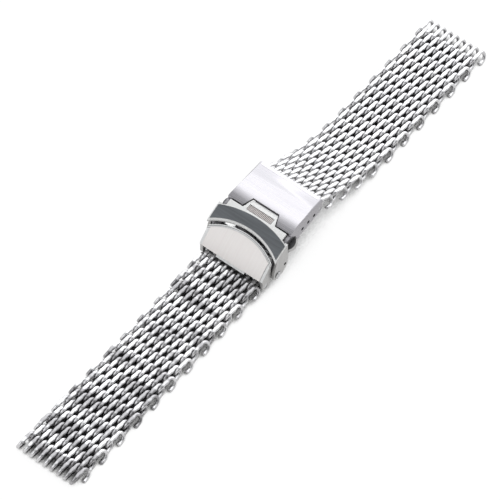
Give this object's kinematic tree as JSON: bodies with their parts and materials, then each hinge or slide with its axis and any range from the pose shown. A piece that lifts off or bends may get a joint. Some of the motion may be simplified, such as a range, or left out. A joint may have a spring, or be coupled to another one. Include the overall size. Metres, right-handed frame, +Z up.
{
  "type": "mesh watch band",
  "caption": "Woven steel wire watch band joined by a folding clasp with a flip lock, side push buttons and a row of adjusting holes.",
  "frame": {"origin": "on the table, under the middle of the whole band, 1 mm from the clasp's middle", "axes": "+X along the band from the near half to the far half, +Y across it, +Z up, away from the wrist"},
  "size_m": [0.1698, 0.0228, 0.0149],
  "materials": {
    "wire": "polished round steel wire",
    "cover_steel": "brushed along the band, with polished edges",
    "lock_steel": "brushed, with polished edges and a ribbed nail tab",
    "plate_steel": "brushed across, with a polished step",
    "button_steel": "satin",
    "blade_steel": "polished",
    "pin_steel": "polished turned steel",
    "spring_steel": "drawn spring wire"
  },
  "bodies": {
    "lower_blade": {"lower_blade": "blade_steel", "catch_block": "blade_steel", "end_plate": "plate_steel", "end_bar": "pin_steel", "blade_hinge_pin": "pin_steel"},
    "upper_blade": {"upper_blade": "blade_steel"},
    "cover": {"cover": "cover_steel", "flip_lock_pins": "pin_steel", "cover_hinge_pin": "pin_steel", "adjust_bar": "pin_steel", "button_springs": "spring_steel"},
    "flip_lock": {"flip_lock": "lock_steel"},
    "push_button_left": {"push_button_left": "button_steel"},
    "push_button_right": {"push_button_right": "button_steel"},
    "adjust_bar_tip_left": {"adjust_bar_tip_left": "pin_steel"},
    "adjust_bar_tip_right": {"adjust_bar_tip_right": "pin_steel"},
    "near_row_01": {"near_row_01": "wire"},
    "near_row_02": {"near_row_02": "wire"},
    "near_row_03": {"near_row_03": "wire"},
    "near_row_04": {"near_row_04": "wire"},
    "near_row_05": {"near_row_05": "wire"},
    "near_row_06": {"near_row_06": "wire"},
    "near_row_07": {"near_row_07": "wire"},
    "near_row_08": {"near_row_08": "wire"},
    "near_row_09": {"near_row_09": "wire"},
    "near_row_10": {"near_row_10": "wire"},
    "near_row_11": {"near_row_11": "wire"},
    "near_row_12": {"near_row_12": "wire"},
    "near_row_13": {"near_row_13": "wire"},
    "near_row_14": {"near_row_14": "wire"},
    "near_row_15": {"near_row_15": "wire"},
    "near_row_16": {"near_row_16": "wire"},
    "near_row_17": {"near_row_17": "wire"},
    "near_row_18": {"near_row_18": "wire"},
    "near_row_19": {"near_row_19": "wire"},
    "near_row_20": {"near_row_20": "wire"},
    "near_row_21": {"near_row_21": "wire"},
    "near_row_22": {"near_row_22": "wire"},
    "far_row_01": {"far_row_01": "wire"},
    "far_row_02": {"far_row_02": "wire"},
    "far_row_03": {"far_row_03": "wire"},
    "far_row_04": {"far_row_04": "wire"},
    "far_row_05": {"far_row_05": "wire"},
    "far_row_06": {"far_row_06": "wire"},
    "far_row_07": {"far_row_07": "wire"},
    "far_row_08": {"far_row_08": "wire"},
    "far_row_09": {"far_row_09": "wire"},
    "far_row_10": {"far_row_10": "wire"},
    "far_row_11": {"far_row_11": "wire"},
    "far_row_12": {"far_row_12": "wire"},
    "far_row_13": {"far_row_13": "wire"},
    "far_row_14": {"far_row_14": "wire"},
    "far_row_15": {"far_row_15": "wire"},
    "far_row_16": {"far_row_16": "wire"},
    "far_row_17": {"far_row_17": "wire"},
    "far_row_18": {"far_row_18": "wire"},
    "far_row_19": {"far_row_19": "wire"},
    "far_row_20": {"far_row_20": "wire"},
    "far_row_21": {"far_row_21": "wire"},
    "far_row_22": {"far_row_22": "wire"}
  },
  "joints": [
    {"name": "blade_fold", "type": "hinge", "parent": "lower_blade", "child": "upper_blade", "pos_m": [0.01061, 0, 0.0074], "axis": [0, 1, 0], "range_deg": [0, 165]},
    {"name": "cover_unfold", "type": "hinge", "parent": "upper_blade", "child": "cover", "pos_m": [-0.00339, 0, 0.0062], "axis": [0, 1, 0], "range_deg": [-165, 0]},
    {"name": "flip_lock_turn", "type": "hinge", "parent": "cover", "child": "flip_lock", "pos_m": [-0.00639, 0, 0.0048], "axis": [0, -1, 0], "range_deg": [0, 60]},
    {"name": "push_button_left_press", "type": "slide", "parent": "cover", "child": "push_button_left", "axis": [0, -1, 0], "range_m": [0, 0.0008], "stiffness_N_per_m": 400, "springref_m": -0.0006, "deforming": ["button_springs"]},
    {"name": "push_button_right_press", "type": "slide", "parent": "cover", "child": "push_button_right", "axis": [0, 1, 0], "range_m": [0, 0.0008], "stiffness_N_per_m": 400, "springref_m": -0.0006},
    {"name": "adjust_bar_tip_left_retract", "type": "slide", "parent": "cover", "child": "adjust_bar_tip_left", "axis": [0, -1, 0], "range_m": [0, 0.00095], "stiffness_N_per_m": 300, "springref_m": -0.0006},
    {"name": "adjust_bar_tip_right_retract", "type": "slide", "parent": "cover", "child": "adjust_bar_tip_right", "axis": [0, 1, 0], "range_m": [0, 0.00095], "stiffness_N_per_m": 300, "springref_m": -0.0006},
    {"name": "near_row_01_turn", "type": "hinge", "parent": "lower_blade", "child": "near_row_01", "pos_m": [-0.01009, 0, 0.0032], "axis": [0, -1, 0], "range_deg": [-6, 40]},
    {"name": "near_row_02_bend", "type": "hinge", "parent": "near_row_01", "child": "near_row_02", "pos_m": [-0.01297, 0, 0.00305], "axis": [0, -1, 0], "range_deg": [-6, 6]},
    {"name": "near_row_03_bend", "type": "hinge", "parent": "near_row_02", "child": "near_row_03", "pos_m": [-0.01632, 0, 0.00289], "axis": [0, -1, 0], "range_deg": [-6, 6]},
    {"name": "near_row_04_bend", "type": "hinge", "parent": "near_row_03", "child": "near_row_04", "pos_m": [-0.01968, 0, 0.00273], "axis": [0, -1, 0], "range_deg": [-6, 6]},
    {"name": "near_row_05_bend", "type": "hinge", "parent": "near_row_04", "child": "near_row_05", "pos_m": [-0.02304, 0, 0.00259], "axis": [0, -1, 0], "range_deg": [-6, 6]},
    {"name": "near_row_06_bend", "type": "hinge", "parent": "near_row_05", "child": "near_row_06", "pos_m": [-0.02639, 0, 0.00246], "axis": [0, -1, 0], "range_deg": [-6, 6]},
    {"name": "near_row_07_bend", "type": "hinge", "parent": "near_row_06", "child": "near_row_07", "pos_m": [-0.02975, 0, 0.00234], "axis": [0, -1, 0], "range_deg": [-6, 6]},
    {"name": "near_row_08_bend", "type": "hinge", "parent": "near_row_07", "child": "near_row_08", "pos_m": [-0.03311, 0, 0.00223], "axis": [0, -1, 0], "range_deg": [-6, 6]},
    {"name": "near_row_09_bend", "type": "hinge", "parent": "near_row_08", "child": "near_row_09", "pos_m": [-0.03647, 0, 0.00213], "axis": [0, -1, 0], "range_deg": [-6, 6]},
    {"name": "near_row_10_bend", "type": "hinge", "parent": "near_row_09", "child": "near_row_10", "pos_m": [-0.03983, 0, 0.00205], "axis": [0, -1, 0], "range_deg": [-6, 6]},
    {"name": "near_row_11_bend", "type": "hinge", "parent": "near_row_10", "child": "near_row_11", "pos_m": [-0.04319, 0, 0.00197], "axis": [0, -1, 0], "range_deg": [-6, 6]},
    {"name": "near_row_12_bend", "type": "hinge", "parent": "near_row_11", "child": "near_row_12", "pos_m": [-0.04654, 0, 0.0019], "axis": [0, -1, 0], "range_deg": [-6, 6]},
    {"name": "near_row_13_bend", "type": "hinge", "parent": "near_row_12", "child": "near_row_13", "pos_m": [-0.0499, 0, 0.00185], "axis": [0, -1, 0], "range_deg": [-6, 6]},
    {"name": "near_row_14_bend", "type": "hinge", "parent": "near_row_13", "child": "near_row_14", "pos_m": [-0.05326, 0, 0.00181], "axis": [0, -1, 0], "range_deg": [-6, 6]},
    {"name": "near_row_15_bend", "type": "hinge", "parent": "near_row_14", "child": "near_row_15", "pos_m": [-0.05662, 0, 0.00177], "axis": [0, -1, 0], "range_deg": [-6, 6]},
    {"name": "near_row_16_bend", "type": "hinge", "parent": "near_row_15", "child": "near_row_16", "pos_m": [-0.05998, 0, 0.00175], "axis": [0, -1, 0], "range_deg": [-6, 6]},
    {"name": "near_row_17_bend", "type": "hinge", "parent": "near_row_16", "child": "near_row_17", "pos_m": [-0.06334, 0, 0.00174], "axis": [0, -1, 0], "range_deg": [-6, 6]},
    {"name": "near_row_18_bend", "type": "hinge", "parent": "near_row_17", "child": "near_row_18", "pos_m": [-0.0667, 0, 0.00174], "axis": [0, -1, 0], "range_deg": [-6, 6]},
    {"name": "near_row_19_bend", "type": "hinge", "parent": "near_row_18", "child": "near_row_19", "pos_m": [-0.07006, 0, 0.00174], "axis": [0, -1, 0], "range_deg": [-6, 6]},
    {"name": "near_row_20_bend", "type": "hinge", "parent": "near_row_19", "child": "near_row_20", "pos_m": [-0.07342, 0, 0.00174], "axis": [0, -1, 0], "range_deg": [-6, 6]},
    {"name": "near_row_21_bend", "type": "hinge", "parent": "near_row_20", "child": "near_row_21", "pos_m": [-0.07678, 0, 0.00174], "axis": [0, -1, 0], "range_deg": [-6, 6]},
    {"name": "near_row_22_bend", "type": "hinge", "parent": "near_row_21", "child": "near_row_22", "pos_m": [-0.08014, 0, 0.00174], "axis": [0, -1, 0], "range_deg": [-6, 6]},
    {"name": "far_row_01_turn", "type": "hinge", "parent": "cover", "child": "far_row_01", "pos_m": [0.01211, 0, 0.0121], "axis": [0, 1, 0], "range_deg": [-20, 25]},
    {"name": "far_row_02_bend", "type": "hinge", "parent": "far_row_01", "child": "far_row_02", "pos_m": [0.01454, 0, 0.01056], "axis": [0, 1, 0], "range_deg": [-6, 6]},
    {"name": "far_row_03_bend", "type": "hinge", "parent": "far_row_02", "child": "far_row_03", "pos_m": [0.01747, 0, 0.00892], "axis": [0, 1, 0], "range_deg": [-6, 6]},
    {"name": "far_row_04_bend", "type": "hinge", "parent": "far_row_03", "child": "far_row_04", "pos_m": [0.02048, 0, 0.00743], "axis": [0, 1, 0], "range_deg": [-6, 6]},
    {"name": "far_row_05_bend", "type": "hinge", "parent": "far_row_04", "child": "far_row_05", "pos_m": [0.02357, 0, 0.00611], "axis": [0, 1, 0], "range_deg": [-6, 6]},
    {"name": "far_row_06_bend", "type": "hinge", "parent": "far_row_05", "child": "far_row_06", "pos_m": [0.02673, 0, 0.00496], "axis": [0, 1, 0], "range_deg": [-6, 6]},
    {"name": "far_row_07_bend", "type": "hinge", "parent": "far_row_06", "child": "far_row_07", "pos_m": [0.02994, 0, 0.00398], "axis": [0, 1, 0], "range_deg": [-6, 6]},
    {"name": "far_row_08_bend", "type": "hinge", "parent": "far_row_07", "child": "far_row_08", "pos_m": [0.03321, 0, 0.00318], "axis": [0, 1, 0], "range_deg": [-6, 6]},
    {"name": "far_row_09_bend", "type": "hinge", "parent": "far_row_08", "child": "far_row_09", "pos_m": [0.03651, 0, 0.00255], "axis": [0, 1, 0], "range_deg": [-6, 6]},
    {"name": "far_row_10_bend", "type": "hinge", "parent": "far_row_09", "child": "far_row_10", "pos_m": [0.03984, 0, 0.0021], "axis": [0, 1, 0], "range_deg": [-6, 6]},
    {"name": "far_row_11_bend", "type": "hinge", "parent": "far_row_10", "child": "far_row_11", "pos_m": [0.04318, 0, 0.00183], "axis": [0, 1, 0], "range_deg": [-6, 6]},
    {"name": "far_row_12_bend", "type": "hinge", "parent": "far_row_11", "child": "far_row_12", "pos_m": [0.04654, 0, 0.00174], "axis": [0, 1, 0], "range_deg": [-6, 6]},
    {"name": "far_row_13_bend", "type": "hinge", "parent": "far_row_12", "child": "far_row_13", "pos_m": [0.0499, 0, 0.00174], "axis": [0, 1, 0], "range_deg": [-6, 6]},
    {"name": "far_row_14_bend", "type": "hinge", "parent": "far_row_13", "child": "far_row_14", "pos_m": [0.05326, 0, 0.00174], "axis": [0, 1, 0], "range_deg": [-6, 6]},
    {"name": "far_row_15_bend", "type": "hinge", "parent": "far_row_14", "child": "far_row_15", "pos_m": [0.05662, 0, 0.00174], "axis": [0, 1, 0], "range_deg": [-6, 6]},
    {"name": "far_row_16_bend", "type": "hinge", "parent": "far_row_15", "child": "far_row_16", "pos_m": [0.05998, 0, 0.00174], "axis": [0, 1, 0], "range_deg": [-6, 6]},
    {"name": "far_row_17_bend", "type": "hinge", "parent": "far_row_16", "child": "far_row_17", "pos_m": [0.06334, 0, 0.00174], "axis": [0, 1, 0], "range_deg": [-6, 6]},
    {"name": "far_row_18_bend", "type": "hinge", "parent": "far_row_17", "child": "far_row_18", "pos_m": [0.0667, 0, 0.00174], "axis": [0, 1, 0], "range_deg": [-6, 6]},
    {"name": "far_row_19_bend", "type": "hinge", "parent": "far_row_18", "child": "far_row_19", "pos_m": [0.07006, 0, 0.00174], "axis": [0, 1, 0], "range_deg": [-6, 6]},
    {"name": "far_row_20_bend", "type": "hinge", "parent": "far_row_19", "child": "far_row_20", "pos_m": [0.07342, 0, 0.00174], "axis": [0, 1, 0], "range_deg": [-6, 6]},
    {"name": "far_row_21_bend", "type": "hinge", "parent": "far_row_20", "child": "far_row_21", "pos_m": [0.07678, 0, 0.00174], "axis": [0, 1, 0], "range_deg": [-6, 6]},
    {"name": "far_row_22_bend", "type": "hinge", "parent": "far_row_21", "child": "far_row_22", "pos_m": [0.08014, 0, 0.00174], "axis": [0, 1, 0], "range_deg": [-6, 6]}
  ],
  "couplings": [
    {"joint": "cover_unfold", "follows": "blade_fold", "ratio": -1}
  ]
}
